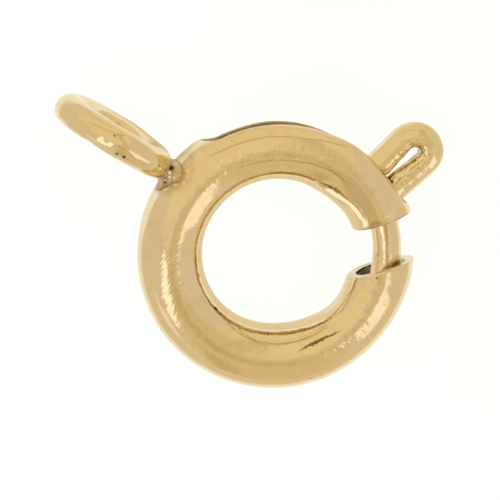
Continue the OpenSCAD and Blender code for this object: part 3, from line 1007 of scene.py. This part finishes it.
# The clasp's shade between the ring and its eyelet, and in the ring's hole
SHADES = (((-3.7, 0.4, 0.8, 0.5), rgb(0.7, 0.59, 0.4)), ((0, 0, 1.5, 0.7), rgb(0.8, 0.69, 0.49)))


def build_floor():
    """White paper. The camera sees it evenly lit; the metal also sees where the pool of light on it ends."""
    n = Nodes(bpy.data.materials.new("floor_paper"))

    def lit(colour, strength, albedo):
        glow = n.add("Emission", {"Color": colour, "Strength": strength})
        paper = n.add("BsdfDiffuse", {"Color": rgb(albedo, albedo, albedo)})
        return n.add("AddShader", {0: glow.outputs[0], 1: paper.outputs[0]}).outputs[0]

    def pool(x, y, radius, edge):
        far = n.vector("DISTANCE", n.coords, (x * 0.001, y * 0.001, FLOOR_Z), "Value")
        return n.span(far, (radius + edge) * 0.001, (radius - edge) * 0.001)

    grain = n.mix(n.span(n.noise(0.05, 3, 0.6), 0.35, 0.65), PAPER_GREY, PAPER)
    light = n.math("MAXIMUM", pool(0, 0, 4.9, 0.9), pool(-4.6, 0, 3, 0.9))
    table = n.mix(light, n.mix(pool(-4, 7, 4, 1.5), TABLE, SIDE_LIT_TABLE), LIT_TABLE)
    for where, colour in SHADES:
        table = n.mix(n.times(pool(*where), 0.75), table, colour)
    n.add("OutputMaterial", {"Surface": n.by_ray(lit(table, 0.9, 0.1), lit(grain, 0.9, 0.22))})
    mesh = bpy.data.meshes.new("floor")
    corners = ((-1, -1), (1, -1), (1, 1), (-1, 1))
    mesh.from_pydata([(x * FLOOR_HALF, y * FLOOR_HALF, FLOOR_Z) for x, y in corners], [], [(0, 1, 2, 3)])
    mesh.materials.append(n.owner)
    linked("floor", mesh)


build_floor()


# the light tent
def photo_direction(x, y):
    """A direction x degrees right and y degrees up from straight above, as the photograph lies."""
    off = math.radians(math.hypot(x, y))
    return Vector((*polar(math.sin(off), angle_of((x, y)) + PHOTO_UP - 90), math.cos(off)))


TENT_CLOTH = rgb(0.743, 0.668, 0.57)
# Its light is this much off white
WARMTH = (0.99, 0.94, 0.83)
FAR_TABLE = rgb(0.75, 0.67, 0.54)
# Panels of the tent, each over those before it: where it starts and ends, as in photo_direction, its
# half width, how soft its sides and its ends are, how much it covers, and its colour
PANELS = (
    # the back of the tent is brighter, and its open front, towards the photographer, is darker
    ((-6, -6), (10, 118), 50, 13, 9, 1, (0.845, 0.735, 0.53)),
    ((6, -10), (4, -112), 26, 8, 6, 1, (0.725, 0.625, 0.435)),
    ((10, -17), (-4, -34), 10, 8, 6, 1, (0.61, 0.52, 0.34)),
    ((-10, -50), (-18, -86), 6, 5, 8, 0.7, (0.56, 0.46, 0.3)),
    # a dim panel right of the zenith
    ((22, -12), (28, 50), 9, 8, 10, 0.8, (0.655, 0.56, 0.4)),
    # a faint light and one lower down, both on the left, and a softbox each side of the photographer
    ((-5, -10), (-30, -20), 4, 3, 4, 0.5, (0.92, 0.88, 0.85)),
    ((-60, -46), (-58, -90), 11, 8, 8, 1, (0.92, 0.88, 0.89)),
    ((-18, -15), (-41, -46), 6.5, 2, 4, 1, (1.24, 1.2, 1.22)),
    ((25, -20), (60, -50), 7.5, 2.8, 5, 1, (1.11, 1.05, 1.02)),
    # seams of the cloth
    ((-26, 44), (22, 46), 3, 2.5, 8, 0.6, (0.46, 0.38, 0.23)),
    ((24, 42), (60, 66), 2, 1.5, 8, 0.5, (0.46, 0.38, 0.23)),
)


def build_world():
    world = bpy.data.worlds.new("light_tent")
    bpy.context.scene.world = world
    n = Nodes(world, "Generated")

    def dot(v):
        return n.vector("DOT_PRODUCT", n.coords, v, "Value")

    def panel(a, b, half, soft_side, soft_end):
        """Where a straight panel from a to b is, half wide each side, with soft edges."""
        a, b = photo_direction(*a), photo_direction(*b)
        middle, along = (a + b).normalized(), (b - a).normalized()
        facing = dot(middle)
        front = n.math("MAXIMUM", facing, 1e-4)
        sides = ((along, math.tan(a.angle(b) / 2), soft_end),
                 (middle.cross(along), math.tan(math.radians(half)), soft_side))
        inside = []
        for direction, size, soft in sides:
            off = n.math("ABSOLUTE", n.math("DIVIDE", dot(direction), front))
            edge = math.tan(math.radians(soft))
            inside.append(n.span(off, size + edge, size - edge))
        return n.times(n.times(*inside), n.span(facing, 0, 0.1))

    colour = TENT_CLOTH
    for *shape, most, tint in PANELS:
        colour = n.mix(n.times(panel(*shape), most), colour, rgb(*tint))
    # below the horizon lies the rest of the pale table
    colour = n.mix(n.span(dot((0, 0, 1)), 0.03, -0.03), colour, FAR_TABLE)
    # the camera itself sees plain white behind the floor
    tent = n.vector("MULTIPLY", colour, WARMTH)
    shaders = [n.add("Background", {"Color": c}).outputs[0] for c in (tent, rgb(1, 1, 1))]
    n.add("OutputWorld", {"Surface": n.by_ray(*shaders)})


build_world()

# camera
PHOTO_PX, PX_PER_MM = 500, 46.4
# The pixel where the ring's centre is
CENTRE_PX = (275.2, 251.1)
# Its distance in metres, how many degrees off straight above, and in which direction
DISTANCE, TILT, TILT_TURN = 0.4, 8.7, 109.2
SENSOR = 36


def build_camera():
    back = photo_direction(*polar(TILT, TILT_TURN))
    right = photo_direction(0, 90).cross(back).normalized()
    up = back.cross(right).normalized()
    data = bpy.data.cameras.new("camera")
    data.sensor_width = SENSOR
    data.lens = SENSOR * DISTANCE / (PHOTO_PX / PX_PER_MM * 0.001)
    data.clip_start, data.clip_end = 0.01, 10
    off_x, off_y = ((v - PHOTO_PX / 2) / PX_PER_MM * 0.001 for v in CENTRE_PX)
    camera = linked("camera", data)
    camera.matrix_world = Matrix.Translation(off_y * up - off_x * right + back * DISTANCE) @ Matrix(
        (right, up, back)).transposed().to_4x4()
    bpy.context.scene.camera = camera


build_camera()
bpy.context.scene.view_settings.view_transform = "Standard"
bpy.context.scene.view_settings.look = "None"
